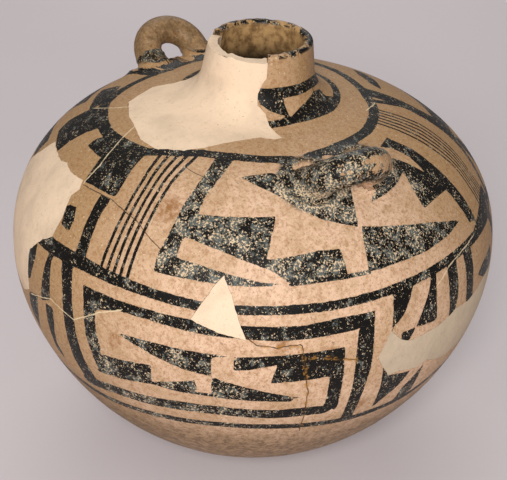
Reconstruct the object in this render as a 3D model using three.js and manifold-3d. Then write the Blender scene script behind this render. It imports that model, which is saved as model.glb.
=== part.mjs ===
// Pottery canteen: a round fired clay jar with a short open neck, a small flat foot
// and two loop handles high on the shoulder, mended in four places with plaster.
// Millimetres, +Z up. The origin is the middle of the foot and the two handles stand
// close to the X axis.
import * as THREE from 'three';
import { mergeVertices } from 'three/addons/utils/BufferGeometryUtils.js';
import Module from 'manifold-3d';

// Body: two superellipse curves that meet at the widest ring
const girthRadius = 121;
const girthHeight = 113;
const bowlBelowFoot = 7;
const bowlFullness = 1.8;
const domeRise = 77;
const domeFullness = 2.4;

// The bowl's curve would close this far under the foot, which cuts it off flat
const bowlDepth = girthHeight + bowlBelowFoot;

// Neck: a concave flare off the dome, then an almost straight collar up to the lip
const flareRadius = 48;
const flareRise = 16.6;
const neckFootRadius = 27;
const flareBendOut = 1.5;
const collarRise = 15;
const lipRadius = 25;
const neckLean = 1.5;
const neckLeanToward = 57;

// Clay thickness
const wall = 5.5;
const lipWall = 4.5;
const footThickness = 7;

// Handles: a round loop on two legs that widen as they go into the shoulder
const loopReach = 78.4;
const loopStandoff = 5.2;
const loopTilt = 39.4;
const loopRadius = 13.7;
const loopThickness = 14.5;
const legLength = 12;
const legFlare = 6;
const legSpacing = 1;
const handleDirections = [-2.5, 182.5];

// Plaster fills
const fillGap = 0.3;
const fillBelowLip = 2.5;

// Plan of the neck fill as [distance from the axis, azimuth in degrees]
const neckFillPlan = [
  [12, -25], [24.5, -25], [26, -25], [27.3, -33], [29.2, -32.3], [32.2, -25.3],
  [37.2, -23.1], [41.4, -20.1], [45.1, -17.6], [46.1, -22.5], [44.2, -30], [47.4, -41.7],
  [55.9, -56.7], [61.1, -64.4], [65.9, -76], [65.6, -86], [63.1, -94.3], [62.3, -107],
  [61.7, -120.9], [52.5, -135], [40, -142], [33, -144], [24, -146], [12, -146], [8, -85],
];

// Outlines of the other fills as [azimuth in degrees, rise along the wall above the girth]
const leftFillOutline = [
  [-118, 51], [-116, 60], [-111, 60.5], [-103, 61.5], [-99.7, 63.6], [-95, 62.4],
  [-88, 64], [-86.4, 59.7], [-87.3, 55.3], [-85.3, 45], [-85.6, 35], [-89, 30],
  [-93, 21], [-92.5, 0], [-97, -6], [-106, -3], [-117, 6], [-124, 20], [-123, 38],
];
const frontFillOutline = [
  [-38.9, 44.2], [-37, 36.5], [-35.4, 27], [-33.6, 17], [-38.9, 19.4],
  [-45.2, 24], [-43.4, 30.6], [-40.6, 40],
];
const rightFillOutline = [
  [-2.2, 12.4], [-5, 0.3], [-4.3, -3.6], [-1.8, -12.3], [1.5, -12.9], [6.2, -16],
  [10, -15], [16, -21.4], [26, -24], [38, -20], [46, -8], [44, 4], [33, 6],
  [24.3, 3.8], [18.6, 5.9], [12, 3], [3.4, 2.9], [0.5, 5.8],
];

// How far the cutters of the wall fills reach, as shares of the way from the middle
// of the body to its wall
const cutterStart = 0.5;
const cutterEnd = 1.4;

// Fineness of the facets
const aroundSteps = 64;
const bodySteps = 9;
const flareSteps = 6;
const lipSteps = 4;
const loopSteps = 16;
const loopSides = 14;
const measuringSteps = 60;

const domeHeightAt = (radius, inset = 0) => girthHeight
  + (domeRise - inset) * (1 - (radius / (girthRadius - inset)) ** domeFullness) ** (1 / domeFullness);
const bowlRadiusAt = (height, inset = 0) => (girthRadius - inset)
  * (1 - ((girthHeight - height) / (bowlDepth - inset)) ** bowlFullness) ** (1 / bowlFullness);
const flareHeight = domeHeightAt(flareRadius);
const collarHeight = flareHeight + flareRise;
const lipHeight = collarHeight + collarRise;
const radians = THREE.MathUtils.degToRad;

// Each curve runs upward; an inset moves it in from the outside of the wall
function bowlCurve(floorHeight, inset, steps) {
  const points = [];
  for (let i = 0; i <= steps; i += 1) {
    const climb = 1 - Math.cos((i / steps) * Math.PI / 2);
    const height = floorHeight + (girthHeight - floorHeight) * climb;
    points.push(new THREE.Vector2(bowlRadiusAt(height, inset), height));
  }
  return points;
}

function domeCurve(innerRadius, inset, steps) {
  const points = [];
  const lastAngle = Math.acos(innerRadius / (girthRadius - inset));
  for (let i = 1; i <= steps; i += 1) {
    const radius = (girthRadius - inset) * Math.cos((i / steps) * lastAngle);
    points.push(new THREE.Vector2(radius, domeHeightAt(radius, inset)));
  }
  return points;
}

function flareCurve(inset, steps) {
  const foot = new THREE.Vector2(flareRadius - inset, domeHeightAt(flareRadius - inset, inset));
  const top = new THREE.Vector2(neckFootRadius - inset, collarHeight - inset / 2);
  const bend = new THREE.Vector2(top.x + flareBendOut, foot.y + 0.15 * (top.y - foot.y));
  return new THREE.QuadraticBezierCurve(foot, bend, top).getPoints(steps).slice(1);
}

// The two profiles start on the axis at the foot and end on it above the lip
function outerProfile(steps) {
  const lipRound = lipWall / 2;
  const points = [
    new THREE.Vector2(0, 0),
    ...bowlCurve(0, 0, steps),
    ...domeCurve(flareRadius, 0, steps),
    ...flareCurve(0, flareSteps),
  ];
  for (let i = 0; i <= lipSteps; i += 1) {
    const angle = (i / lipSteps) * Math.PI / 2;
    points.push(new THREE.Vector2(
      lipRadius - lipRound * (1 - Math.cos(angle)),
      lipHeight - lipRound * (1 - Math.sin(angle)),
    ));
  }
  points.push(new THREE.Vector2(0, lipHeight));
  return points;
}

function cavityProfile() {
  const lipRound = lipWall / 2;
  const points = [
    new THREE.Vector2(0, footThickness),
    ...bowlCurve(footThickness, wall, bodySteps - 2),
    ...domeCurve(flareRadius - wall, wall, bodySteps - 2),
    ...flareCurve(wall, flareSteps - 2),
  ];
  for (let i = lipSteps; i >= 0; i -= 1) {
    const angle = (i / lipSteps) * Math.PI / 2;
    points.push(new THREE.Vector2(
      lipRadius - lipWall + lipRound * (1 - Math.sin(angle)),
      lipHeight - lipRound * (1 - Math.cos(angle)),
    ));
  }
  points.push(new THREE.Vector2(lipRadius, lipHeight + lipRound));
  points.push(new THREE.Vector2(0, lipHeight + lipRound));
  return points;
}

function revolve(profile) {
  return new THREE.LatheGeometry(profile, aroundSteps).rotateX(Math.PI / 2);
}

// Direction straight off the dome at a radius, as seen in a section through the axis
function domeNormal(radius, outward) {
  const step = 0.5;
  const fall = (domeHeightAt(radius - step) - domeHeightAt(radius + step)) / (2 * step);
  return outward.clone().multiplyScalar(fall).setZ(1).normalize();
}

// A cylinder bent into a loop, with two legs that turn to enter the dome squarely
function handleLoop(direction) {
  const around = radians(direction);
  const tilt = radians(loopTilt);
  const outward = new THREE.Vector3(Math.cos(around), Math.sin(around), 0);
  const along = new THREE.Vector3(-Math.sin(around), Math.cos(around), 0);
  const up = outward.clone().multiplyScalar(Math.cos(tilt)).setZ(Math.sin(tilt));
  const turn = domeNormal(loopReach, outward).sub(up);
  const middle = outward.clone().multiplyScalar(loopReach)
    .setZ(domeHeightAt(loopReach) + loopStandoff);
  const halfArc = loopRadius * Math.PI / 2;
  const halfPath = halfArc + legLength;
  const geometry = new THREE.CylinderGeometry(1, 1, 2 * halfPath, loopSides, loopSteps + 6);
  const position = geometry.attributes.position;
  const spot = new THREE.Vector3();
  const away = new THREE.Vector3();
  const across = new THREE.Vector3();
  for (let i = 0; i < position.count; i += 1) {
    const travelled = position.getY(i);
    const legDepth = Math.max(0, Math.abs(travelled) - halfArc);
    const angle = THREE.MathUtils.clamp(travelled / loopRadius, -Math.PI / 2, Math.PI / 2);
    const flared = loopThickness / 2 + legFlare * (legDepth / legLength) ** 1.5;
    const thickness = Math.min(flared, loopRadius - legSpacing / 2);
    away.copy(along).multiplyScalar(Math.sin(angle)).addScaledVector(up, Math.cos(angle));
    across.copy(up).addScaledVector(turn, legDepth / legLength).normalize();
    across.cross(along);
    spot.copy(middle).addScaledVector(away, loopRadius).addScaledVector(up, -legDepth);
    spot.addScaledVector(turn, -(legDepth ** 2) / (2 * legLength));
    spot.addScaledVector(away, position.getX(i) * thickness);
    spot.addScaledVector(across, position.getZ(i) * thickness);
    position.setXYZ(i, spot.x, spot.y, spot.z);
  }
  return geometry;
}

// Points of the outer wall, found by their height above the girth measured along it
function wallPointFinder() {
  const side = outerProfile(measuringSteps).slice(1, 2 * measuringSteps + 2);
  const lengths = [0];
  for (let i = 1; i < side.length; i += 1) {
    lengths.push(lengths[i - 1] + side[i].distanceTo(side[i - 1]));
  }
  const girthLength = lengths[measuringSteps];
  return (azimuth, rise) => {
    const wanted = girthLength + rise;
    const next = Math.max(1, lengths.findIndex((length) => length >= wanted));
    const share = (wanted - lengths[next - 1]) / (lengths[next] - lengths[next - 1]);
    const spot = side[next - 1].clone().lerp(side[next], share);
    const around = radians(azimuth);
    return new THREE.Vector3(spot.x * Math.cos(around), spot.x * Math.sin(around), spot.y);
  };
}

// An outline moved outward by a margin, corner by corner
function widen(outline, margin) {
  const sense = THREE.ShapeUtils.isClockWise(outline) ? -1 : 1;
  const outwardOf = (from, to) => {
    const edge = to.clone().sub(from).normalize();
    return new THREE.Vector2(edge.y, -edge.x).multiplyScalar(sense);
  };
  return outline.map((point, i) => {
    const before = outwardOf(outline.at(i - 1), point);
    const after = outwardOf(point, outline[(i + 1) % outline.length]);
    const corner = before.add(after);
    const stretch = Math.min(2, 2 / Math.max(corner.lengthSq(), 0.5));
    return point.clone().addScaledVector(corner, margin * stretch);
  });
}

function extrude(outline, depth) {
  return new THREE.ExtrudeGeometry(new THREE.Shape(outline), { depth, bevelEnabled: false });
}

// A cutter that stands straight up on its plan, through the shoulder and the neck
function uprightCutter(plan, margin) {
  const outline = plan.map(([distance, azimuth]) => new THREE.Vector2(
    distance * Math.cos(radians(azimuth)),
    distance * Math.sin(radians(azimuth)),
  ));
  const widest = Math.max(...plan.map(([distance]) => distance));
  const base = domeHeightAt(widest, wall) - wall;
  const cutter = extrude(widen(outline, margin), lipHeight + lipWall - base);
  return cutter.translate(0, 0, base);
}

// A cutter that widens from the middle of the body out through an outline on its wall
function radialCutter(wallPoint, outline, margin) {
  const middle = new THREE.Vector3(0, 0, girthHeight);
  const rays = outline.map(([azimuth, rise]) => wallPoint(azimuth, rise).sub(middle));
  const aim = rays.reduce((sum, ray) => sum.add(ray), new THREE.Vector3()).normalize();
  const sideways = new THREE.Vector3(0, 0, 1).cross(aim).normalize();
  const upward = new THREE.Vector3().crossVectors(aim, sideways);
  const flat = rays.map((ray) => new THREE.Vector2(ray.dot(sideways), ray.dot(upward))
    .multiplyScalar(girthRadius / ray.dot(aim)));
  const geometry = extrude(widen(flat, margin), 1);
  const position = geometry.attributes.position;
  const corner = new THREE.Vector3();
  for (let i = 0; i < position.count; i += 1) {
    const reach = THREE.MathUtils.lerp(cutterStart, cutterEnd, position.getZ(i));
    corner.copy(aim).multiplyScalar(girthRadius);
    corner.addScaledVector(sideways, position.getX(i)).addScaledVector(upward, position.getY(i));
    corner.multiplyScalar(reach).add(middle);
    position.setXYZ(i, corner.x, corner.y, corner.z);
  }
  return geometry;
}

const wasm = await Module();
wasm.setup();

function toSolid(geometry) {
  geometry.deleteAttribute('normal');
  geometry.deleteAttribute('uv');
  const merged = mergeVertices(geometry, 1e-4);
  return new wasm.Manifold(new wasm.Mesh({
    numProp: 3,
    vertProperties: new Float32Array(merged.attributes.position.array),
    triVerts: new Uint32Array(merged.index.array),
  }));
}

// The neck stands a little off centre, so everything above the shoulder is moved over
function leanNeck(position) {
  const toward = radians(neckLeanToward);
  for (let i = 0; i < position.count; i += 1) {
    const x = position.getX(i);
    const y = position.getY(i);
    const rise = (position.getZ(i) - flareHeight) / (lipHeight - flareHeight);
    if (rise > 0 && Math.hypot(x, y) < flareRadius) {
      position.setX(i, x + neckLean * rise * Math.cos(toward));
      position.setY(i, y + neckLean * rise * Math.sin(toward));
    }
  }
}

function toMesh(solid, name, material) {
  const result = solid.getMesh();
  const geometry = new THREE.BufferGeometry();
  geometry.setAttribute('position', new THREE.BufferAttribute(result.vertProperties.slice(), 3));
  geometry.setIndex(new THREE.BufferAttribute(result.triVerts.slice(), 1));
  leanNeck(geometry.attributes.position);
  geometry.computeVertexNormals();
  const mesh = new THREE.Mesh(geometry, material);
  mesh.name = name;
  return mesh;
}

const clay = new THREE.MeshStandardMaterial({ color: 0xb0907a, roughness: 0.75, metalness: 0 });
const plaster = new THREE.MeshStandardMaterial({ color: 0xe2cdb4, roughness: 0.9, metalness: 0 });
const oldPlaster = new THREE.MeshStandardMaterial({ color: 0xb59a7c, roughness: 0.85, metalness: 0 });

// The whole jar as it was fired, before any of it was lost
function wholeJar() {
  let jar = toSolid(revolve(outerProfile(bodySteps)));
  for (const direction of handleDirections) {
    jar = jar.add(toSolid(handleLoop(direction)));
  }
  return jar.subtract(toSolid(revolve(cavityProfile())));
}

// Keeps the neck fill a little lower than the lip that it stands in for
function aboveFill() {
  const height = fillBelowLip + lipWall;
  const block = new THREE.CylinderGeometry(flareRadius, flareRadius, height, 8);
  return block.rotateX(Math.PI / 2).translate(0, 0, lipHeight - fillBelowLip + height / 2);
}

const wallPoint = wallPointFinder();
const jar = wholeJar();
const fills = [
  ['fill_neck', plaster, (margin) => uprightCutter(neckFillPlan, margin)],
  ['fill_left', plaster, (margin) => radialCutter(wallPoint, leftFillOutline, margin)],
  ['fill_front', plaster, (margin) => radialCutter(wallPoint, frontFillOutline, margin)],
  ['fill_right', oldPlaster, (margin) => radialCutter(wallPoint, rightFillOutline, margin)],
];

const canteen = new THREE.Group();
let remaining = jar;
for (const [name, material, cutter] of fills) {
  remaining = remaining.subtract(toSolid(cutter(fillGap)));
  let fill = jar.intersect(toSolid(cutter(0)));
  if (name === 'fill_neck') {
    fill = fill.subtract(toSolid(aboveFill()));
  }
  canteen.add(toMesh(fill, name, material));
}
canteen.add(toMesh(remaining, 'vessel', clay));

export default canteen;
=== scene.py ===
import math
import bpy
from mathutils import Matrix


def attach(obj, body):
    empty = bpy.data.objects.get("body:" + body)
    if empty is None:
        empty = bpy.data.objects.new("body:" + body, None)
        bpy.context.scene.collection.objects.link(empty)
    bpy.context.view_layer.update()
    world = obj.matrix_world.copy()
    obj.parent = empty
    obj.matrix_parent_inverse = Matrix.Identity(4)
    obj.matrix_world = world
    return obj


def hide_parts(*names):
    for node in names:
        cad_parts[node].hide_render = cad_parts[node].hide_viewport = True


bl_info = {
    "name": "Pottery canteen",
    "version": (1, 0, 0),
    "blender": (4, 5, 0),
    "location": "3D View > Sidebar > Canteen",
    "description": "Painted clay water jar with two loop handles, mended with plaster",
    "category": "Object",
}

import bmesh
import bpy
import numpy as np
from bpy.props import FloatProperty, FloatVectorProperty, IntProperty, PointerProperty
from mathutils import Matrix, Vector, noise

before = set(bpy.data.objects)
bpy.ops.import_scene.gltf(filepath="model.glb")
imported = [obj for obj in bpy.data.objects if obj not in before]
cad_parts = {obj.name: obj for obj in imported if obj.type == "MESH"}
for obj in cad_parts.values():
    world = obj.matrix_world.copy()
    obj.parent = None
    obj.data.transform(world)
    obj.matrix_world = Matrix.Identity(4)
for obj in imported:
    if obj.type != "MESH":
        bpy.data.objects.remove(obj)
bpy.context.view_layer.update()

MM = 0.001

# Body curves, in millimetres
GIRTH_HEIGHT = 113
BOWL_DEPTH = 120
BOWL_FULLNESS = 1.8
DOME_RISE = 77
DOME_FULLNESS = 2.4
FLARE_RADIUS = 48
FLARE_RISE = 16.6
NECK_FOOT_RADIUS = 27
FLARE_BEND_OUT = 1.5
FLARE_BEND_SHARE = 0.15
COLLAR_RISE = 15
NECK_LEAN = 1.5
NECK_LEAN_TOWARD = 57
FOOT_THICKNESS = 7

# Handles, in millimetres and degrees
LOOP_REACH = 78.4
LOOP_STANDOFF = 5.2
LOOP_TILT = 39.4
LOOP_RADIUS = 13.7
LOOP_THICKNESS = 14.5
LEG_LENGTH = 12
LEG_FLARE = 6
LEG_SPACING = 1
HANDLE_DIRECTIONS = (-2.5, 182.5)
HANDLE_HALF_PATH = LOOP_RADIUS * math.pi / 2 + LEG_LENGTH

# Rounded joint at a handle's foot, in millimetres
ROOT_BLEND = 7
ROOT_REACH = 9
ROOT_ROUNDS = 6

# Fineness of the meshes: face heights in millimetres, and counts
CURVE_STEPS = 240
WALL_STEP = 1.55
LOW_WALL_STEP = 5.0
LOW_WALL_TOP = 58
CAVITY_STEP = 4.5
LOW_CAVITY_STEP = 8.0
LOW_CAVITY_TOP = 150
CAVITY_AROUND = 160
LIP_STEPS = 7
HANDLE_SIDES = 44
HANDLE_STEPS = 56
OUTLINE_STEP = 1.6

# Unevenness: how far an edge wanders, over what length, and how the lip is worn
OUTLINE_WOBBLE = 0.5
OUTLINE_BUMP = 2.5
LIP_WORN_HEIGHT = 4
LIP_CHIP_DEPTH = 1.6
LIP_WEAR_DEPTH = 0.35
NECK_FILL_RAGGED = 1.6

# Reach of a cutter in shares of the girth, and the angle above which an edge stays sharp
CUTTER_REACH = (0.5, 1.4)
SHARP_ANGLE = 38

# Plan of the neck fill as distance from the axis in millimetres and azimuth in degrees
NECK_FILL_PLAN = (
    (12, -25), (24.5, -25), (26, -25), (27.3, -33), (29.2, -32.3), (32.2, -25.3),
    (37.2, -23.1), (41.4, -20.1), (45.1, -17.6), (46.1, -22.5), (44.2, -30), (47.4, -41.7),
    (55.9, -56.7), (61.1, -64.4), (65.9, -76), (65.6, -86), (63.1, -94.3), (62.3, -107),
    (61.7, -120.9), (52.5, -135), (40, -142), (33, -144), (24, -146), (12, -146), (8, -85),
)

# Outlines on the wall as azimuth in degrees and rise above the girth in millimetres
LEFT_FILL = (
    (-118, 51), (-116, 60), (-111, 60.5), (-103, 61.5), (-99.7, 63.6), (-95, 62.4),
    (-88, 64), (-86.4, 59.7), (-87.3, 55.3), (-85.3, 45), (-85.6, 35), (-89, 30),
    (-93, 21), (-92.5, 0), (-97, -6), (-106, -3), (-117, 6), (-124, 20), (-123, 38),
)
FRONT_FILL = (
    (-38.9, 44.2), (-37, 36.5), (-35.4, 27), (-33.6, 17), (-38.9, 19.4),
    (-45.2, 24), (-43.4, 30.6), (-40.6, 40),
)
RIGHT_FILL = (
    (-2.2, 12.4), (-5, 0.3), (-4.3, -3.6), (-1.8, -12.3), (1.5, -12.9), (6.2, -16),
    (10, -15), (16, -21.4), (26, -24), (38, -20), (46, -8), (44, 4), (33, 6),
    (24.3, 3.8), (18.6, 5.9), (12, 3), (3.4, 2.9), (0.5, 5.8),
)

# Painted shapes of the panel between two bands of fine lines, on the upper wall
HOOK = (
    (-49, 104), (-41, 104), (-44.5, 91), (-47.5, 78), (-48, 69.5), (-26.5, 71), (-28, 62),
    (-29.5, 51.5), (-24, 52.5), (-17, 54), (-11.5, 53.5), (-11, 41.5), (-24, 41),
    (-28.5, 47), (-33, 50), (-40.5, 54.5), (-50, 58.5), (-50.5, 49), (-43.5, 47),
    (-37, 44.5), (-30.5, 42), (-24, 40.5), (-33, 40), (-43, 40.5), (-55, 41), (-55, 48.5),
    (-54, 57), (-53, 72.5), (-50.5, 90.5),
)
UPPER_WEDGE = (
    (-38, 91.5), (-28, 94), (-18.5, 95.5), (-4, 95), (-1, 85.5), (-2, 77.5), (-3.5, 70),
    (-5, 61), (-14.5, 68), (-18, 73), (-24.5, 81), (-30, 85.5),
)
RIGHT_WEDGE = (
    (-4, 61), (6.5, 56), (16, 51), (27, 43), (20, 41), (11, 40.5), (2.5, 41), (-6, 41),
    (-5, 55),
)
LEG = ((22, 85), (20.5, 76.5), (9, 73), (2, 70), (4.5, 76), (10.5, 80.5))
COMB = (
    (23, 93), (31.5, 94), (34, 81.5), (34, 62.5), (34, 45), (34, 36), (30.5, 38),
    (30, 46.5), (29.5, 57.5), (23, 58), (17, 57.5), (18, 67), (20.5, 76.5), (22.5, 85),
    (25.5, 78.5), (28, 69.5), (29, 80), (27, 89),
)
LEFT_SHAPES = (
    ((-125, 78.5), (-133, 77), (-144.5, 75), (-143, 88.5), (-131.5, 90.5), (-126.5, 83)),
    ((-122.5, 61), (-125.5, 66), (-126, 78), (-125, 84), (-117, 87.5), (-107, 85.5),
     (-109, 77), (-109.5, 68), (-109, 61), (-113.5, 60.5)),
    ((-100.5, 76), (-101.5, 81), (-97.5, 88), (-85.5, 91), (-77, 92), (-76, 81),
     (-74, 69.5), (-74, 65.5), (-82.5, 65), (-87, 64), (-89, 72), (-90.5, 77)),
    ((-78.5, 64), (-74.5, 63.5), (-74.5, 55.5), (-73.5, 45), (-72.5, 33), (-76, 33),
     (-76.5, 42), (-77.5, 53)),
    ((-86.5, 51.5), (-83, 53), (-81, 47), (-81, 42), (-84.5, 42.5)),
)

# Painted shapes of a framed panel on the lower wall
LOWER_FRAME = (
    ((-71.5, 24.5), (-54, 24.5), (-45.5, 24), (-33.5, 23.5), (-22, 23), (-14, 24.5),
     (-6, 24), (-10, 17.5), (-19, 17), (-27, 16.5), (-33, 17.5), (-42, 18), (-54, 20),
     (-61, 20), (-70.5, 14)),
    ((-10, 17.5), (-6, 24), (-6.5, 10.5), (-6.5, 1), (-7.5, -19), (-8, -38), (-11, -37),
     (-10.5, -16.5), (-10.5, 3)),
    ((-80, 32.5), (-76, 32.5), (-74.5, 18.5), (-73, -2.5), (-72, -16), (-69.5, -29),
     (-74, -33), (-76, -21.5), (-76.5, -6.5), (-77.5, 15.5)),
    ((-71, 22.5), (-67.5, 20.5), (-67, 6), (-66, -2), (-66, -6), (-67.5, -19),
     (-69, -6.5), (-70, 0.5)),
    ((-66, -6.5), (-60, -4.5), (-53.5, -2.5), (-53.5, -13), (-59, -15.5), (-67.5, -19)),
    ((-52.5, -11.5), (-47.5, -8.5), (-44, -6), (-43.5, -12.5), (-48.5, -14), (-52.5, -13)),
    ((-62.5, 9.5), (-52, 9.8), (-42, 9.2), (-36, 9), (-40.5, 7.5), (-40.5, -2.5),
     (-46, -1), (-52, 2.5), (-57, 6)),
    ((-36, 8.5), (-28.5, 9.5), (-22.5, 10), (-13, 10.5), (-16, -4), (-28.5, -5),
     (-27, 5), (-32.5, 2.5), (-36, 1.5)),
    ((-15.5, 9), (-13, 10.5), (-13, -2), (-13, -19.5), (-13, -28), (-16.2, -25),
     (-16, -4)),
    ((-40.5, -2.5), (-38, -4.5), (-32.5, -8), (-28, -11), (-21, -15.5), (-28.5, -15),
     (-34.5, -14.5), (-40.5, -13.5)),
)
LOWER_FRAME_LINES = (
    (6.5 / 2, ((-73.5, -33), (-65.5, -29), (-55, -27), (-47, -25), (-39, -24.5),
               (-26.5, -26), (-20.5, -25.5), (-16, -26))),
)
INNER_LINE = ((-67.5, -18.5), (-59, -15.5), (-53.5, -13), (-48.5, -14), (-41, -14),
              (-32.5, -15), (-24, -16.2))
LOWER_BLOCKS = (
    ((-1, 31), (5, 31.5), (4, 26.5), (1, 17.5), (-2, 13)),
    ((10.5, 31), (12, 31), (11, 17.5), (11, 7), (4.5, 9), (7, 17.5), (9, 24)),
    ((16, 31.5), (19.8, 31), (19, 14), (17.5, 3), (15.5, 3.5), (15.5, 18.5)),
    ((23, 30), (27, 30), (26, 10), (26, 0.5), (22.5, 5)),
)
LOWER_RIGHT = (
    ((0.5, 9.5), (4.5, 9), (2.5, 3), (0.5, 5.5)),
    ((-3, -12), (5, -16.5), (2.5, -24.5), (-1.5, -32), (-3, -36)),
    ((8, -20), (9.5, -15.5), (9, -23), (9, -35.5), (3.5, -39.5), (4.5, -28)),
    ((-3.5, -6.5), (-2, -8), (-2, -13), (-3, -19)),
    ((40.5, 16), (40.5, -3.5), (28.5, 12.5), (32.5, 15)),
    ((43.5, 40), (49, 40), (49, 30), (34, 29.5), (28, 31.5), (32.5, 34.5)),
)
FAR_LEFT = (
    ((-84, 31.5), (-82, 32.5), (-83, 26), (-82.5, 19), (-82, 6.5), (-86, 2), (-85, 23)),
    ((-93.5, 26), (-90, 27), (-89.5, 20.5), (-90.5, 12.5), (-91, 8), (-93.5, 5.5)),
    ((-92.5, -1), (-87.5, 3), (-89, -10.5), (-92, -24), (-94, -13)),
    ((-84, 3), (-81, 3), (-81, -4.5), (-82.5, -19), (-81, -29.5), (-84, -25)),
)
BACK_SLIVER = ((107, 85), (95, 86), (78, 94.5), (85, 97), (97, 94))
NECK_WEDGES = (
    ((-34, 141), (-7.5, 141.5), (-7, 134.5), (-5.5, 129), (-20, 132.5), (-30.5, 136.5)),
    ((-5.5, 129), (10, 133), (32, 136), (48, 134), (46, 130), (55, 124), (32, 124.5),
     (18, 126), (4, 126.5)),
)

# Painted rings right round the jar: azimuth, rise and half width in millimetres
RINGS = (
    ((-175, 31.5, 3.2), (-87, 31.4, 3.6), (-73.5, 33.2, 3.1), (-60, 32.5, 2.4),
     (-43.5, 30.3, 2.1), (-29, 30.2, 2), (-15.5, 30.2, 2), (-5.5, 30.7, 2), (5, 31.2, 2),
     (23.5, 31.4, 2.2), (40, 30.6, 2.8), (100, 31.5, 3), (185, 31.5, 3.2)),
    ((-175, 104, 2.4), (-160, 105, 2.4), (-151, 100, 2.8), (-136, 92, 3), (-125, 87, 3),
     (-102, 87, 3), (-91.5, 89, 3), (-78.5, 91.5, 3), (-71, 96.5, 2.6), (-57, 102.2, 2.4),
     (-42.5, 103.6, 2.3), (-27.5, 102.6, 2.3), (-13.5, 101.7, 2.3), (6.5, 103.8, 2.3),
     (28, 103.3, 2.5), (53, 105.3, 2.6), (65, 107.3, 2.6), (85.5, 107.5, 2.6),
     (100, 106, 2.6), (140, 103, 2.6), (185, 104, 2.4)),
    ((-175, 124, 2), (-100, 126, 2), (-22.5, 126, 2), (-2.5, 127, 2), (15.5, 126, 2),
     (32, 124.5, 2), (58.5, 123.5, 2), (90, 122, 2), (185, 124, 2)),
    ((-175, 141, 2.6), (-90, 141, 2.6), (-7.5, 141, 2.6), (19, 140.5, 2.6),
     (32.5, 140.5, 2.6), (60, 138, 2.6), (185, 141, 2.6)),
    ((-175, -40, 2.1), (-90, -42, 2.1), (-70.5, -42, 2.1), (-59, -39.5, 2.1),
     (-39, -36, 2.1), (-27.5, -36.5, 2.1), (-8.5, -39.5, 2.1), (6.5, -39.5, 2.1),
     (20.5, -36, 2.1), (60, -38, 2.1), (185, -40, 2.1)),
)
PAINTED_LINES = (
    (1.9, ((61.5, 104.5), (63, 98), (65, 88.5), (63, 79.5), (60, 65), (57.5, 54.5),
           (52.5, 42.5), (50.5, 32))),
)
THIN_LINES = (
    ((-24, 41), (-15, 41.5), (-6, 41)),
    ((79.5, 68), (67.5, 62.5)),
)
THIN_LINE_WIDTH = 1.9

# Bands of fine lines: how many, then the azimuths of the first and last line by rise
FINE_BANDS = (
    (5, ((35, -67.9), (48, -67.9), (62, -68.3), (77, -69.3), (85, -70.4), (99, -72)),
        ((35, -60.7), (66, -60.4), (82, -60.1), (91, -59), (99, -57.5))),
    (6, ((35, 40), (48, 40.5), (61, 42), (80, 42), (91, 41), (102, 39)),
        ((32, 46.5), (50, 47), (62, 50.5), (81, 54), (92, 53.5), (102, 52.5))),
    (5, ((35, -178.5), (66, -180), (99, -177)), ((35, -170.5), (72, -170), (99, -169))),
)
FINE_BAND_RISE = (31, 103)
FINE_LINE_SHARE = 0.44

# Joins between sherds and other marks, in the same coordinates
DARK_CRACKS = (
    ((-86, 63), (-74, 64), (-63, 59), (-54.5, 50.5)),
    ((-58.5, 91.5), (-50, 88.5)),
    ((-1.5, 14.5), (-2.5, 10.5), (-3, 6.5), (-4, 2)),
)
BROWN_CRACKS = (
    ((-33.5, 18.5), (-31.5, 15), (-28.5, 13.5), (-22.5, 14), (-21.5, 6.5), (-20.5, -11),
     (-20.5, -31.5), (-20.5, -42)),
    ((-21.5, 8.5), (-15.5, 6), (-10.5, 2.5)),
)
PALE_JOINS = (
    ((-96.5, 99.5), (-90.5, 84.5), (-87.5, 74), (-87, 64)),
    ((-126, 80.5), (-120, 91), (-116.5, 99)),
    ((59, 104.5), (48.5, 108.5)),
    ((30, 32), (21, 30.5), (16.5, 28.5), (11.5, 23.5)),
    ((-91.5, -1), (-81.5, 7.5), (-73.5, 5), (-66, 15.5), (-61, 20.5)),
)
# Brown stains: azimuth, rise and reach in millimetres
STAINS = ((-56.5, 69, 9), (-17, 7, 7), (-26, 14, 6), (-41, 103, 3), (-62, 5, 5), (-8, -28, 6))

# Turns that carry a framed panel round the jar, and the farthest distance that is stored
PANEL_TURNS = (0, 122, 244)
FAR = 6.0

# Wear, tone and painted shade as the two ends of each change, in millimetres or degrees
LIP_PAINT = (2.4, 1.4)
NECK_SHADE = (7, 22)
INSIDE_DEPTH = (1.2, 2.2)
# Next: painted shade on the lower body, in mm below the girth where it starts and where it is full
FOOT_SHADE = (28, 60)
FRONT_AZIMUTH = -22
HANDLE_NEAR = 34

# Darker tints of the clay and the stage
# Next: tint of the painted shade on the lower body and the back handle
PAINTED_SHADE_TINT = "2E2414"
RUST = "A5722C"
CRACK = "3A2A1C"
INSIDE_PATCHES = "6E5233"
INSIDE_SHADE = "120D08"
PAPER_PATCH_TINT = "A09A9A"
ROOM_LIGHT = "F1EEF0"


def srgb(text):
    """Linear colour of a hex code."""
    values = [int(text[i:i + 2], 16) / 255 for i in (0, 2, 4)]
    return tuple(v / 12.92 if v < 0.04045 else ((v + 0.055) / 1.055) ** 2.4 for v in values)


def colour(name, code, description):
    return FloatVectorProperty(
        name=name, description=description, subtype="COLOR", size=3, min=0, max=1,
        default=srgb(code))


def length(name, value, description):
    return FloatProperty(
        name=name, description=description, unit="LENGTH", min=0, default=value * MM)


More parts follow.
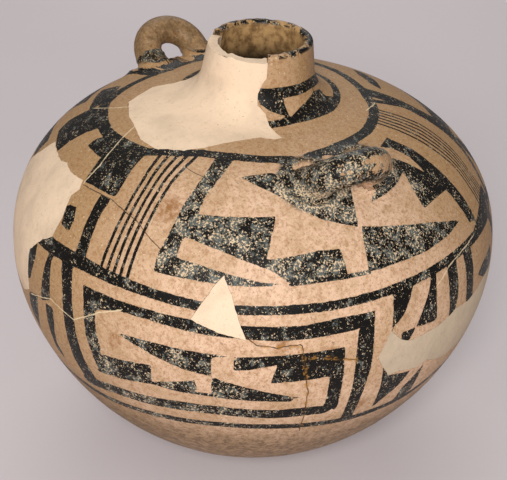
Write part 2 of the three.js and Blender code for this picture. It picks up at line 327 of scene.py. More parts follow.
class CanteenSizes(bpy.types.PropertyGroup):
    """Sizes and fineness of the jar"""

    girth_radius: length("Girth radius", 121, "Radius of the body at its widest ring")
    lip_radius: length("Lip radius", 25, "Outer radius of the lip")
    wall: length("Wall", 5.5, "Thickness of the fired clay")
    lip_wall: length("Lip wall", 4.5, "Thickness of the clay at the lip")
    fill_gap: length("Fill gap", 0.1, "Gap between a plaster fill and the clay")
    fill_below_lip: length("Fill below lip", 2.5, "How far the neck fill stops below the lip")
    unevenness: length("Unevenness", 0.8, "Deepest hollow of the hand-formed wall")
    around_steps: IntProperty(
        name="Steps around", description="Columns of faces around the wall", default=480, min=64)


class CanteenColours(bpy.types.PropertyGroup):
    """Colours of the clay, the paint and the plaster"""

    slip: colour("Slip", "D6B395", "Pinkish tan slip in the front panels")
    slip_dark: colour("Darker slip", "A98760", "Olive tan slip of the neck, the sides and the back")
    slip_stain: colour("Stain", "8A5A2C", "Brown soaking along cracks")
    paint: colour("Paint", "100E0B", "Black mineral paint")
    paint_worn: colour("Worn paint", "6C716B", "Grey film where the paint is rubbed thin")
    bare: colour("Bare fleck", "D9C4A0", "Pale clay in the chips of the paint")
    inside: colour("Inside", "AE8A5C", "Bare clay inside the jar")
    plaster: colour("Plaster", "E3C8AA", "New plaster of the pale fills")
    plaster_speck: colour("Plaster specks", "8B7B66", "Grit in the plaster")
    toned: colour("Toned plaster", "C4B096", "Toned plaster of the right fill")
    floor: colour("Floor", "CFC6C7", "Pale ground that the jar stands on")


# Shape of the wall

def dome_height(radius, girth, inset=0.0):
    share = np.clip(radius / (girth - inset), 0, 1)
    return GIRTH_HEIGHT + (DOME_RISE - inset) * (1 - share ** DOME_FULLNESS) ** (1 / DOME_FULLNESS)


def bowl_radius(height, girth, inset=0.0):
    share = np.clip((GIRTH_HEIGHT - height) / (BOWL_DEPTH - inset), 0, 1)
    return (girth - inset) * (1 - share ** BOWL_FULLNESS) ** (1 / BOWL_FULLNESS)


def collar_height(girth):
    return float(dome_height(FLARE_RADIUS, girth)) + FLARE_RISE


def lip_height(girth):
    return collar_height(girth) + COLLAR_RISE


def wall_curve(girth, inset, floor_height, steps):
    """Radius and height from the foot up to the top of the flare, moved in by an inset."""
    rise = 1 - np.cos(np.linspace(0, math.pi / 2, steps))
    heights = floor_height + (GIRTH_HEIGHT - floor_height) * rise
    bowl = np.column_stack([bowl_radius(heights, girth, inset), heights])
    last = math.acos((FLARE_RADIUS - inset) / (girth - inset))
    radii = (girth - inset) * np.cos(np.linspace(0, last, steps)[1:])
    dome = np.column_stack([radii, dome_height(radii, girth, inset)])
    foot = dome[-1]
    top = np.array([NECK_FOOT_RADIUS - inset, collar_height(girth) - inset / 2])
    bend = np.array([
        top[0] + FLARE_BEND_OUT, foot[1] + FLARE_BEND_SHARE * (top[1] - foot[1])])
    t = np.linspace(0, 1, steps // 2)[1:, None]
    flare = (1 - t) ** 2 * foot + 2 * t * (1 - t) * bend + t ** 2 * top
    return np.vstack([bowl, dome, flare])


def lip_arc(lip_radius, lip_wall, girth, steps, outer):
    """One side of the rounded lip, from the wall up to the top."""
    bend = np.linspace(0, math.pi / 2, steps)
    inward = lip_wall / 2 * (1 - np.cos(bend))
    radii = lip_radius - inward if outer else lip_radius - lip_wall + inward
    return np.column_stack([radii, lip_height(girth) - lip_wall / 2 * (1 - np.sin(bend))])


def respace(points, fine, coarse, fine_from):
    """The same curve with even steps, coarse up to a height and fine above it."""
    travel = np.r_[0, np.cumsum(np.hypot(*np.diff(points, axis=0).T))]
    change = np.interp(fine_from, points[:, 1], travel)
    low = np.linspace(0, change, max(2, round(change / coarse)))
    high = np.linspace(change, travel[-1], max(2, round((travel[-1] - change) / fine)))
    wanted = np.r_[low, high[1:]]
    return np.column_stack([np.interp(wanted, travel, points[:, k]) for k in (0, 1)])


def spun_mesh(name, profile, steps):
    """A closed solid of revolution from a profile that starts and ends on the axis."""
    bm = bmesh.new()
    verts = [bmesh.ops.create_vert(bm, co=(r, 0, z))["vert"][0] for r, z in profile]
    edges = [bm.edges.new(pair) for pair in zip(verts, verts[1:])]
    bmesh.ops.spin(
        bm, geom=verts + edges, cent=(0, 0, 0), axis=(0, 0, 1),
        angle=math.tau, steps=steps, use_merge=True)
    bmesh.ops.remove_doubles(bm, verts=bm.verts, dist=0.01)
    bmesh.ops.recalc_face_normals(bm, faces=bm.faces)
    return make_object(name, bm)


def make_object(name, bm):
    """Turns a finished bmesh into an object of the scene."""
    mesh = bpy.data.meshes.new(name)
    bm.to_mesh(mesh)
    bm.free()
    piece = bpy.data.objects.new(name, mesh)
    bpy.context.scene.collection.objects.link(piece)
    return piece


def toward(azimuth, elevation=0):
    """Direction from an azimuth and an elevation in degrees."""
    around, up = math.radians(azimuth), math.radians(elevation)
    return Vector((math.cos(up) * math.cos(around), math.cos(up) * math.sin(around), math.sin(up)))


def dome_normal(radius, girth, outward):
    step = 0.5
    fall = (dome_height(radius - step, girth) - dome_height(radius + step, girth)) / (2 * step)
    normal = outward * float(fall) + Vector((0, 0, 1))
    return normal.normalized()


def loop_frame(direction, girth):
    """Middle, tangent, up and turn of a handle."""
    tilt = math.radians(LOOP_TILT)
    outward = toward(direction)
    along = toward(direction + 90)
    up = outward * math.cos(tilt) + Vector((0, 0, math.sin(tilt)))
    turn = dome_normal(LOOP_REACH, girth, outward) - up
    middle = outward * LOOP_REACH
    middle.z = float(dome_height(LOOP_REACH, girth)) + LOOP_STANDOFF
    return middle, along, up, turn


def loop_spot(place, travelled):
    """Centre, two directions across, and thickness of the handle at a place along it."""
    middle, along, up, turn = place
    half_arc = LOOP_RADIUS * math.pi / 2
    depth = max(0.0, abs(travelled) - half_arc)
    angle = max(-math.pi / 2, min(math.pi / 2, travelled / LOOP_RADIUS))
    flared = LOOP_THICKNESS / 2 + LEG_FLARE * (depth / LEG_LENGTH) ** 1.5
    thickness = min(flared, LOOP_RADIUS - LEG_SPACING / 2)
    away = along * math.sin(angle) + up * math.cos(angle)
    across = (up + turn * (depth / LEG_LENGTH)).normalized().cross(along)
    centre = middle + away * LOOP_RADIUS - up * depth - turn * (depth ** 2 / (2 * LEG_LENGTH))
    return centre, away, across, thickness


def handle_mesh(name, direction, girth):
    """A bent roll of clay, swept as one closed solid."""
    place = loop_frame(direction, girth)
    bm = bmesh.new()
    bmesh.ops.create_circle(bm, cap_ends=False, radius=1, segments=HANDLE_SIDES)
    rings = [list(bm.verts)]
    edges = list(bm.edges)
    first = edges
    for _ in range(HANDLE_STEPS):
        grown = bmesh.ops.extrude_edge_only(bm, edges=edges)["geom"]
        rings.append([g for g in grown if isinstance(g, bmesh.types.BMVert)])
        edges = [g for g in grown if isinstance(g, bmesh.types.BMEdge)
                 and all(v in set(rings[-1]) for v in g.verts)]
    for i, ring in enumerate(rings):
        travelled = HANDLE_HALF_PATH * (2 * i / HANDLE_STEPS - 1)
        centre, away, across, thickness = loop_spot(place, travelled)
        for vert in ring:
            x, y = vert.co.x, vert.co.y
            vert.co = centre + away * (x * thickness) + across * (y * thickness)
    for rim in (first, edges):
        bmesh.ops.contextual_create(bm, geom=rim)
    bmesh.ops.recalc_face_normals(bm, faces=bm.faces)
    return make_object(name, bm)


def combine(piece, other, operation):
    """Applies one cut, join or overlap of two closed solids, and removes the second."""
    modifier = piece.modifiers.new("Cut", "BOOLEAN")
    modifier.operation = operation
    modifier.solver = "MANIFOLD"
    modifier.object = other
    bpy.context.view_layer.update()
    evaluated = piece.evaluated_get(bpy.context.evaluated_depsgraph_get())
    mesh = bpy.data.meshes.new_from_object(evaluated)
    piece.modifiers.clear()
    old = piece.data
    piece.data = mesh
    bpy.data.meshes.remove(old)
    remove(other)


def remove(piece):
    mesh = piece.data
    bpy.data.objects.remove(piece)
    bpy.data.meshes.remove(mesh)


def copy_of(piece, name):
    twin = piece.copy()
    twin.data = piece.data.copy()
    twin.name = name
    bpy.context.scene.collection.objects.link(twin)
    return twin


def points_of(mesh):
    points = np.zeros(len(mesh.vertices) * 3, np.float32)
    mesh.vertices.foreach_get("co", points)
    return points.reshape(-1, 3).astype(float)


def set_points(mesh, points):
    mesh.vertices.foreach_set("co", points.astype(np.float32).ravel())
    mesh.update()


# Smooth handle roots

def body_distance(points, girth):
    """Distance off the plain round body, less than nothing inside it."""
    radius = np.hypot(points[:, 0], points[:, 1])
    lift = points[:, 2] - GIRTH_HEIGHT
    upper = lift > 0
    depth = np.where(upper, DOME_RISE, BOWL_DEPTH)
    power = np.where(upper, DOME_FULLNESS, BOWL_FULLNESS)
    a = np.clip(radius / girth, 1e-6, None)
    b = np.clip(np.abs(lift) / depth, 1e-6, None)
    value = a ** power + b ** power
    slope = np.hypot(power * a ** (power - 1) / girth, power * b ** (power - 1) / depth)
    return (value - 1) / slope


def loop_side(points, direction, girth, samples):
    """Distance off the handle, place across it from -1 below to 1 above, and along it."""
    place = loop_frame(direction, girth)
    best = np.full(len(points), 1e3)
    side = np.zeros(len(points))
    along = np.zeros(len(points))
    for travelled in np.linspace(-HANDLE_HALF_PATH, HANDLE_HALF_PATH, samples):
        centre, _, across, thickness = loop_spot(place, travelled)
        offset = points - np.array(centre)
        apart = np.linalg.norm(offset, axis=1) - thickness
        closer = apart < best
        best[closer] = apart[closer]
        side[closer] = offset[closer] @ np.array(across) / thickness
        along[closer] = travelled
    return best, side, along


def blended(points, direction, girth):
    """Distance off the body and a handle together, with a rounded joint."""
    a = body_distance(points, girth)
    b = loop_side(points, direction, girth, 120)[0]
    overlap = np.clip(ROOT_BLEND - np.abs(a - b), 0, None)
    return np.minimum(a, b) - overlap ** 2 / (4 * ROOT_BLEND)


def smooth_roots(piece, girth):
    """Draws the points near a handle's foot out onto a rounded joint."""
    points = points_of(piece.data)
    for direction in HANDLE_DIRECTIONS:
        body = body_distance(points, girth)
        loop = loop_side(points, direction, girth, 120)[0]
        on_skin = (body > -0.4) & (loop > -0.6)
        near = np.nonzero(on_skin & (body < ROOT_REACH) & (loop < ROOT_REACH))[0]
        spots = points[near]
        probe = 0.05
        for _ in range(ROOT_ROUNDS):
            value = blended(spots, direction, girth)
            slope = np.stack([
                blended(spots + probe * axis, direction, girth) - value for axis in np.eye(3)
            ], axis=1) / probe
            steepness = np.clip((slope ** 2).sum(1), 0.2, None)
            spots = spots - slope * (value / steepness)[:, None]
        points[near] = spots
    set_points(piece.data, points)


# Cutters of the plaster fills

def worn_outline(outline, seed):
    """A closed outline with more points and a slightly uneven edge."""
    corners = np.array(outline, float)
    result = []
    for start, end in zip(corners, np.roll(corners, -1, axis=0)):
        count = max(1, round(float(np.hypot(*(end - start))) / OUTLINE_STEP))
        for i in range(count):
            spot = start + (end - start) * i / count
            shift = noise.noise_vector(Vector((*(spot / OUTLINE_BUMP), seed)))
            result.append(spot + OUTLINE_WOBBLE * np.array([shift.x, shift.y]))
    return np.array(result)


def widened(outline, margin):
    """The outline moved outwards by a margin."""
    before = outline - np.roll(outline, 1, axis=0)
    after = np.roll(outline, -1, axis=0) - outline
    area = np.sum(outline[:, 0] * np.roll(outline[:, 1], -1)
                  - np.roll(outline[:, 0], -1) * outline[:, 1])
    sense = 1 if area > 0 else -1
    normals = []
    for edge in (before, after):
        unit = edge / np.hypot(edge[:, 0], edge[:, 1])[:, None]
        normals.append(np.column_stack([unit[:, 1], -unit[:, 0]]) * sense)
    corner = normals[0] + normals[1]
    stretch = np.minimum(2, 2 / np.clip((corner ** 2).sum(1), 0.5, None))
    return outline + corner * (margin * stretch)[:, None]


def prism(name, low, high):
    """A closed solid between two rings of points."""
    bm = bmesh.new()
    verts = [bmesh.ops.create_vert(bm, co=co)["vert"][0] for co in low]
    edges = [bm.edges.new(pair) for pair in zip(verts, verts[1:] + verts[:1])]
    bmesh.ops.contextual_create(bm, geom=edges)
    grown = bmesh.ops.extrude_face_region(bm, geom=list(bm.faces))["geom"]
    placed = dict(zip([tuple(v.co) for v in verts], high))
    for vert in (g for g in grown if isinstance(g, bmesh.types.BMVert)):
        vert.co = placed[tuple(vert.co)]
    bmesh.ops.recalc_face_normals(bm, faces=bm.faces)
    return make_object(name, bm)


def upright_cutter(sizes, outline, margin, seed):
    """Cutter of the neck fill, standing upright from inside the shoulder."""
    plan = [distance * toward(azimuth).xy for distance, azimuth in outline]
    edge = widened(worn_outline(plan, seed), margin)
    widest = max(distance for distance, _ in outline)
    base = float(dome_height(widest, sizes.girth, sizes.wall)) - sizes.wall
    top = lip_height(sizes.girth) + sizes.lip_wall
    return prism("cutter", [(x, y, base) for x, y in edge], [(x, y, top) for x, y in edge])


def wall_spot(sizes, azimuth, rise):
    """Places on the outer wall from azimuths and rises."""
    radius = np.interp(rise, sizes.rises, sizes.curve[:, 0])
    height = np.interp(rise, sizes.rises, sizes.curve[:, 1])
    around = np.radians(azimuth)
    return np.stack([radius * np.cos(around), radius * np.sin(around), height], axis=-1)


def radial_cutter(sizes, outline, margin, seed):
    """Cutter of a fill in the side, widening out from the middle of the jar."""
    # A degree of azimuth is about 2.1 mm on the wall
    units = (2.1, 1)
    shape = worn_outline(np.array(outline, float) * units, seed) / units
    middle = np.array([0, 0, GIRTH_HEIGHT])
    rays = wall_spot(sizes, shape[:, 0], shape[:, 1]) - middle
    aim = rays.sum(0)
    aim /= np.linalg.norm(aim)
    sideways = np.cross([0, 0, 1], aim)
    sideways /= np.linalg.norm(sideways)
    upward = np.cross(aim, sideways)
    reach = (sizes.girth / (rays @ aim))[:, None]
    flat = widened(np.column_stack([rays @ sideways, rays @ upward]) * reach, margin)
    corner = aim * sizes.girth + flat[:, :1] * sideways + flat[:, 1:] * upward
    near, far = CUTTER_REACH
    return prism("cutter", corner * near + middle, corner * far + middle)


# Painted pattern as distances on the wall

def segment_distances(spots, scale, outline):
    """Distances in mm to each piece of an open line, with both ends of the piece."""
    shape = np.array(outline, float)
    x = ((shape[None, :, 0] - spots[:, :1] + 180) % 360 - 180) * scale[:, None]
    y = shape[None, :, 1] - spots[:, 1:2]
    x, x2, y, y2 = x[:, :-1], x[:, 1:], y[:, :-1], y[:, 1:]
    dx, dy = x2 - x, y2 - y
    t = np.clip(-(x * dx + y * dy) / np.clip(dx * dx + dy * dy, 1e-9, None), 0, 1)
    return np.hypot(x + t * dx, y + t * dy), x, y, x2, y2


def inside_outline(x, y, x2, y2):
    """Whether each spot lies inside a closed outline."""
    crosses = (y > 0) != (y2 > 0)
    at = x - y * (x2 - x) / np.where(y2 == y, 1e-9, y2 - y)
    return (np.count_nonzero(crosses & (at > 0), axis=1) % 2) == 1


def nearby(spots, scale, outline):
    """The spots close enough to an outline for it to matter."""
    shape = np.array(outline, float)
    middle = (shape[:, 0].min() + shape[:, 0].max()) / 2
    reach = (shape[:, 0].max() - shape[:, 0].min()) / 2
    away = np.abs((spots[:, 0] - middle + 180) % 360 - 180) - reach
    low, high = shape[:, 1].min() - FAR, shape[:, 1].max() + FAR
    return np.nonzero((away * scale < FAR) & (spots[:, 1] > low) & (spots[:, 1] < high))[0]


def stamp(field, spots, scale, outline, half_width=None):
    """Adds a filled outline, or a line with a width, to the distances of the paint."""
    near = nearby(spots, scale, outline)
    closed = half_width is None
    path = [*outline, outline[0]] if closed else outline
    each, *run = segment_distances(spots[near], scale[near], path)
    value = each.min(1)
    if closed:
        value = np.where(inside_outline(*run), -value, value)
    else:
        value = value - half_width
    field[near] = np.minimum(field[near], value)


def ring_stamp(field, spots, points):
    """Adds a ring right round the jar to the distances of the paint."""
    azimuths, rises, halves = np.array(points, float).T
    wrapped = (spots[:, 0] + 175) % 360 - 175
    level = np.interp(wrapped, azimuths, rises)
    half_width = np.interp(wrapped, azimuths, halves)
    field[:] = np.minimum(field, np.abs(spots[:, 1] - level) - half_width)


def moved(outline, shift, stretch=1.0):
    return [(azimuth * stretch + shift, rise) for azimuth, rise in outline]


def painted_shapes():
    """Every filled outline: those in the photograph, then copies round the back."""
    front = [HOOK, UPPER_WEDGE, RIGHT_WEDGE, LEG, COMB]
    shapes = front + list(LEFT_SHAPES) + list(LOWER_FRAME) + list(LOWER_BLOCKS)
    shapes += list(LOWER_RIGHT) + list(FAR_LEFT) + [BACK_SLIVER] + list(NECK_WEDGES)
    shapes.append(moved(HOOK, -110))
    shapes += [moved(shape, 128.8, 1.28) for shape in (HOOK, RIGHT_WEDGE, COMB)]
    for turn in PANEL_TURNS[1:]:
        shapes += [moved(shape, turn) for shape in LOWER_FRAME]
    shapes += [moved(shape, PANEL_TURNS[1]) for shape in LOWER_BLOCKS]
    shapes += [moved(shape, PANEL_TURNS[2]) for shape in LOWER_BLOCKS[:3]]
    shapes += [moved(shape, turn) for shape in NECK_WEDGES for turn in (110, 200)]
    return shapes


def painted_lines():
    """Every painted line that is wide, with its half width."""
    turned = [(half, moved(points, turn)) for turn in PANEL_TURNS
              for half, points in LOWER_FRAME_LINES]
    return list(PAINTED_LINES) + turned


def marks():
    """Thin painted lines, cracks and joins by name."""
    thin = list(THIN_LINES) + [moved(INNER_LINE, turn) for turn in PANEL_TURNS]
    return {"thin": thin, "dark": DARK_CRACKS, "brown": BROWN_CRACKS, "pale": PALE_JOINS}


def fine_line_fields(spots, scale):
    """How far across its band a spot lies, counted in lines, the step, and the band's edge."""
    count_across = np.full(len(spots), -0.5)
    step = np.full(len(spots), 4.0)
    edge = np.full(len(spots), FAR)
    low, high = FINE_BAND_RISE
    for count, first, last in FINE_BANDS:
        starts = np.interp(spots[:, 1], *np.array(first, float).T)
        ends = np.interp(spots[:, 1], *np.array(last, float).T)
        across = ((spots[:, 0] - starts + 180) % 360 - 180) / (ends - starts) * (count - 1)
        gap = (ends - starts) * scale / (count - 1)
        beyond = np.maximum(-across - 0.5, across - count + 0.5) * gap
        past = np.maximum(beyond, np.maximum(low - spots[:, 1], spots[:, 1] - high))
        near = np.nonzero(past < FAR)[0]
        count_across[near] = np.clip(across[near], -0.5, count - 0.5)
        step[near] = gap[near]
        edge[near] = past[near]
    return {"across": count_across, "step": step, "edge": edge}


def line_fields(spots, scale, lines):
    """Distance to the nearest line, and the same with a sign for the side that it lies on."""
    off = np.full(len(spots), FAR)
    side = np.full(len(spots), FAR)
    for line in lines:
        near = nearby(spots, scale, line)
        each, x, y, x2, y2 = segment_distances(spots[near], scale[near], line)
        nearest = (np.arange(len(near)), each.argmin(1))
        distance = each[nearest]
        turn = ((x2 - x) * y - (y2 - y) * x)[nearest]
        closer = distance < off[near]
        off[near[closer]] = distance[closer]
        side[near[closer]] = np.where(turn < 0, -distance, distance)[closer]
    return off, side


def ramp_between(value, low, high):
    """Rises smoothly from 0 to 1 between two values, or falls if the first is the higher."""
    t = np.clip((value - low) / (high - low), 0, 1)
    return t * t * (3 - 2 * t)


def soaked_field(spots, scale):
    """How strongly each spot is stained brown."""
    soaked = np.zeros(len(spots))
    for azimuth, rise, reach in STAINS:
        around = ((spots[:, 0] - azimuth + 180) % 360 - 180) * scale
        away = np.hypot(around, spots[:, 1] - rise)
        soaked = np.maximum(soaked, ramp_between(away, reach, 0.3 * reach))
    return soaked


def handle_fields(points, rise, sizes):
    """Where a handle begins, how much of it is painted, and where painted shade darkens the clay.
    """
    loop = np.zeros(len(points))
    coverage = np.zeros(len(points))
    # Painted shade, darker towards the foot
    shade = 0.42 * ramp_between(-rise, *FOOT_SHADE)
    off_wall = body_distance(points, sizes.girth)
    for number, direction in enumerate(HANDLE_DIRECTIONS):
        middle = np.array(loop_frame(direction, sizes.girth)[0])
        near = np.nonzero(np.linalg.norm(points - middle, axis=1) < HANDLE_NEAR)[0]
        apart, side, along = loop_side(points[near], direction, sizes.girth, 60)
        loop[near] = ramp_between(off_wall[near], 3, 5) * (apart < 3)
        if number == 0:
            # The front handle is painted at its edges and ends and rubbed in the middle
            edges = np.maximum(ramp_between(side, 0.1, 0.6), ramp_between(-side, 0.55, 0.9))
            near_end = 0.6 * ramp_between(-along, -4, 4) + 0.4 * ramp_between(-along, 8, 15)
            edges = np.maximum(edges, np.maximum(near_end, ramp_between(along, 15, 20)))
            coverage[near] = 0.32 + 0.68 * edges
            root = ((side > 0) | (along < 0)) & (apart < 5)
            loop[near] = np.maximum(loop[near], ramp_between(off_wall[near], 0.2, 0.9) * root)
        else:
            # The back handle is bare and darkened with painted shade, except for one painted foot
            coverage[near] = ramp_between(along + 3 * side, 23, 26)
            shade[near] = np.maximum(shade[near], 0.4 * loop[near])
    return {"loop": loop, "coverage": coverage, "shade": shade}


def clay_fields(points, radius, azimuth, rise, sizes):
    """Where the lip, the inside, the darker slip, partly painted shade, and the worn paint lie."""
    below_lip = lip_height(sizes.girth) - points[:, 2]
    wall_radius = np.interp(points[:, 2], sizes.curve[:, 1], sizes.curve[:, 0])
    wall_height = np.interp(-radius, -sizes.top_curve[:, 0], sizes.top_curve[:, 1])
    under = np.where(points[:, 2] > GIRTH_HEIGHT, wall_height - points[:, 2], FAR)
    depth = np.minimum(wall_radius - radius, np.where(radius < FLARE_RADIUS, FAR, under))
    from_front = np.abs((azimuth - FRONT_AZIMUTH + 180) % 360 - 180)
    # Darker slip away from the front panel and on the shoulder, with painted shade darkening the
    # lower body towards the foot
    tone = ramp_between(from_front, 22, 62)
    tone += 0.75 * ramp_between(rise, 88, 112) + 0.5 * ramp_between(-rise, 30, 60)
    upper = ramp_between(azimuth, -57.5, -55) * ramp_between(azimuth, 26, 16)
    upper = upper * ramp_between(rise, 36, 44) * ramp_between(rise, 99, 92)
    lower = ramp_between(azimuth, -74, -68) * ramp_between(azimuth, -22, -38)
    lower = lower * ramp_between(rise, 27, 16)
    return {
        "lip": ramp_between(below_lip, *LIP_PAINT), "deep": ramp_between(below_lip, *NECK_SHADE),
        "inside": ramp_between(depth, *INSIDE_DEPTH), "tone": np.clip(tone, 0, 1),
        "wear": np.maximum(0.35 + 0.5 * upper, 0.75 * lower)}


def write_pattern(piece, sizes):
    """Stores the painting, the marks, the wear and the tone on the jar's points."""
    points = points_of(piece.data)
    radius = np.hypot(points[:, 0], points[:, 1])
    azimuth = np.degrees(np.arctan2(points[:, 1], points[:, 0]))
    rise = np.interp(points[:, 2], sizes.curve[:, 1], sizes.rises)
    spots = np.column_stack([azimuth, rise])
    scale = np.radians(1) * np.clip(radius, 5, None)
    paint = np.full(len(points), FAR)
    for shape in painted_shapes():
        stamp(paint, spots, scale, shape)
    for half, line in painted_lines():
        stamp(paint, spots, scale, line, half)
    for ring in RINGS:
        ring_stamp(paint, spots, ring)
    fields = {
        "paint": paint, "soaked": soaked_field(spots, scale), **fine_line_fields(spots, scale),
        **handle_fields(points, rise, sizes), **clay_fields(points, radius, azimuth, rise, sizes)}
    for name, lines in marks().items():
        fields[name + "_off"], fields[name + "_side"] = line_fields(spots, scale, lines)
    for name, values in fields.items():
        attribute = piece.data.attributes.new(name, "FLOAT", "POINT")
        attribute.data.foreach_set("value", values.astype(np.float32))
    return list(fields)


# Unevenness of a hand-formed jar

def bumps(x, y, size, level):
    """Smooth random height with bumps of a size in millimetres."""
    return noise.noise(Vector((x / size, y / size, level)))


def hand_form(piece, sizes, ragged=0.0):
    """Leans the neck, hollows the wall a little and wears the lip down."""
    points = points_of(piece.data)
    flare = float(dome_height(FLARE_RADIUS, sizes.girth))
    lip = lip_height(sizes.girth)
    leaning = toward(NECK_LEAN_TOWARD)
    for i, (x, y, z) in enumerate(points):
        radius = math.hypot(x, y)
        hollow = 0.5 + 0.5 * bumps(x, y, 60, z / 60) + 0.12 * bumps(x, y, 14, z / 14)
        hollow = sizes.unevenness * min(1, max(0, hollow)) * min(1, z / 20)
        inward = 1 - hollow / max(radius, 20)
        rise = (z - flare) / (lip - flare)
        lean = NECK_LEAN * rise if rise > 0 and radius < FLARE_RADIUS else 0
        worn = max(0, 1 - (lip - z) / LIP_WORN_HEIGHT)
        chip = max(0, bumps(x, y, 7, 1.7) - 0.12)
        dip = worn * LIP_CHIP_DEPTH * chip
        dip += worn * LIP_WEAR_DEPTH * (0.5 + 0.5 * bumps(x, y, 2, 0))
        upper = max(0, (z - (lip - sizes.fill_below_lip - 5)) / 5)
        dip += ragged * upper * (0.5 + 0.9 * bumps(x, y, 4, 4.2))
        points[i] = (x * inward + lean * leaning.x, y * inward + lean * leaning.y, z - dip)
    set_points(piece.data, points * MM)


class Measured:
    """The sizes in millimetres, with the wall's curve worked out from them."""

    def __init__(self, sizes):
        self.girth = sizes.girth_radius / MM
        self.lip_radius = sizes.lip_radius / MM
        self.wall = sizes.wall / MM
        self.lip_wall = sizes.lip_wall / MM
        self.fill_gap = sizes.fill_gap / MM
        self.fill_below_lip = sizes.fill_below_lip / MM
        self.unevenness = sizes.unevenness / MM
        self.around = sizes.around_steps
        side = wall_curve(self.girth, 0, 0, CURVE_STEPS)
        self.curve = np.vstack([side, self.lip_side(True, LIP_STEPS + 1)])
        travel = np.r_[0, np.cumsum(np.hypot(*np.diff(self.curve, axis=0).T))]
        self.rises = travel - np.interp(GIRTH_HEIGHT, self.curve[:, 1], travel)
        self.top_curve = self.curve[self.curve[:, 1] >= GIRTH_HEIGHT]

    def lip_side(self, outer, steps=LIP_STEPS):
        return lip_arc(self.lip_radius, self.lip_wall, self.girth, steps, outer)

    def outer_profile(self):
        side = wall_curve(self.girth, 0, 0, CURVE_STEPS)
        arc = self.lip_side(True)
        spaced = respace(np.vstack([side, arc[:1]]), WALL_STEP, LOW_WALL_STEP, LOW_WALL_TOP)
        return np.vstack([[[0, 0]], spaced, arc[1:], [[0, lip_height(self.girth)]]])

    def cavity_profile(self):
        side = wall_curve(self.girth, self.wall, FOOT_THICKNESS, CURVE_STEPS // 2)
        arc = self.lip_side(False)
        spaced = respace(
            np.vstack([side, arc[:1]]), CAVITY_STEP, LOW_CAVITY_STEP, LOW_CAVITY_TOP)
        over = lip_height(self.girth) + self.lip_wall / 2
        ends = [[self.lip_radius, over], [0, over]]
        return np.vstack([[[0, FOOT_THICKNESS]], spaced, arc[1:], ends])


def whole_jar(sizes):
    """The clay jar before it was broken and mended."""
    jar = spun_mesh("jar", sizes.outer_profile(), sizes.around)
    for i, direction in enumerate(HANDLE_DIRECTIONS):
        combine(jar, handle_mesh(f"handle_{i}", direction, sizes.girth), "UNION")
    smooth_roots(jar, sizes.girth)
    cavity = spun_mesh("cavity", sizes.cavity_profile(), CAVITY_AROUND)
    combine(jar, cavity, "DIFFERENCE")
    return jar


def above_fill(sizes):
    """Block over the neck fill, whose top stands a little below the lip."""
    bm = bmesh.new()
    height = sizes.fill_below_lip + sizes.lip_wall
    bmesh.ops.create_cone(
        bm, cap_ends=True, segments=32, radius1=FLARE_RADIUS, radius2=FLARE_RADIUS,
        depth=height)
    level = lip_height(sizes.girth) - sizes.fill_below_lip + height / 2
    bmesh.ops.translate(bm, verts=bm.verts, vec=(0, 0, level))
    return make_object("above", bm)


# Materials

# Patterns by name: size in millimetres, detail and roughness. Grains of temper, chips and
# brush hairs are really near 0.3 mm, and are drawn about 1 mm coarse so that they show.
CLAY_GRAINS = {
    "brush edge": (3.0, 3, 0.5), "brush hairs": (0.9, 2, 0.5), "rubbed": (2.4, 4, 0.65),
    "worn rim": (4.0, 3, 0.6), "sway": (7, 2, 0.5), "smoke": (22, 3, 0.5),
    "cloud": (6, 4, 0.65), "stain": (2.0, 4, 0.7), "temper": (1.1, 3, 0.75),
    "grey grit": (1.0, 2, 0.5), "pale grit": (1.2, 3, 0.7), "soaking": (3, 4, 0.6),
    "wear": (7.0, 3, 0.6), "chips": (0.95, 3, 0.75), "film": (3.5, 5, 0.7),
    # mottling of the painted shade on the lower body and the back handle
    "painted_shade": (4, 5, 0.7), "inside": (5, 5, 0.65), "relief": (1.6, 5, 0.65),
}
PLASTER_GRAINS = {
    "cloud": (14, 4, 0.5), "pits": (1.0, 3, 0.6), "grit": (2.4, 4, 0.7),
    "filing": (2.5, 5, 0.6), "swell": (8, 3, 0.5),
}
PAPER_GRAINS = {"broad_patches": (300, 2, 0.5), "fibre": (2, 2, 0.5)}
SMOOTH = {"interpolation_type": "SMOOTHSTEP"}


class Graph:
    """The nodes of one material, with its patterns and the fields that it reads."""

    def __init__(self, name, viewport, grains, fields=()):
        self.material = bpy.data.materials.new(name)
        self.material.use_nodes = True
        self.material.diffuse_color = (*viewport, 1)
        self.tree = self.material.node_tree
        self.tree.nodes.clear()
        place = self.add("TexCoord", (), "Object")
        self.grain = {}
        for key, (size, detail, roughness) in grains.items():
            self.grain[key] = self.add("TexNoise", {
                "Vector": place, "Scale": 1 / (size * MM), "Detail": detail,
                "Roughness": roughness})
        self.wall = {key: self.add("Attribute", (), "Fac", attribute_name=key) for key in fields}

    def add(self, kind, inputs, output=0, **settings):
        """Adds a node with its settings, fills or links its inputs, and gives an output."""
        node = self.tree.nodes.new("ShaderNode" + kind)
        row, column = divmod(len(self.tree.nodes) - 1, 12)
        node.location = (220 * column, -240 * row)
        for key, value in settings.items():
            setattr(node, key, value)
        for key, value in inputs.items() if isinstance(inputs, dict) else enumerate(inputs):
            socket = node.inputs[key]
            if isinstance(value, bpy.types.NodeSocket):
                self.tree.links.new(value, socket)
            else:
                socket.default_value = (*value, 1) if socket.type == "RGBA" else value
        return node.outputs[output] if node.outputs else None

    def coated(self, surface, *coats):
        """Lays coats of colour over a surface, each as thickly as its mask says."""
        for mask, tint in coats:
            inputs = {0: mask, 6: surface, 7: tint}
            surface = self.add("Mix", inputs, 2, data_type="RGBA")
        return surface

    def finish(self, base, roughness, height, relief_mm, specular):
        bump = self.add("Bump", {"Height": height, "Distance": relief_mm * MM, "Strength": 1})
        shader = self.add("BsdfPrincipled", {
            "Base Color": base, "Roughness": roughness, "Specular IOR Level": specular,
            "Normal": bump})
        self.add("OutputMaterial", {"Surface": shader})
        return self.material


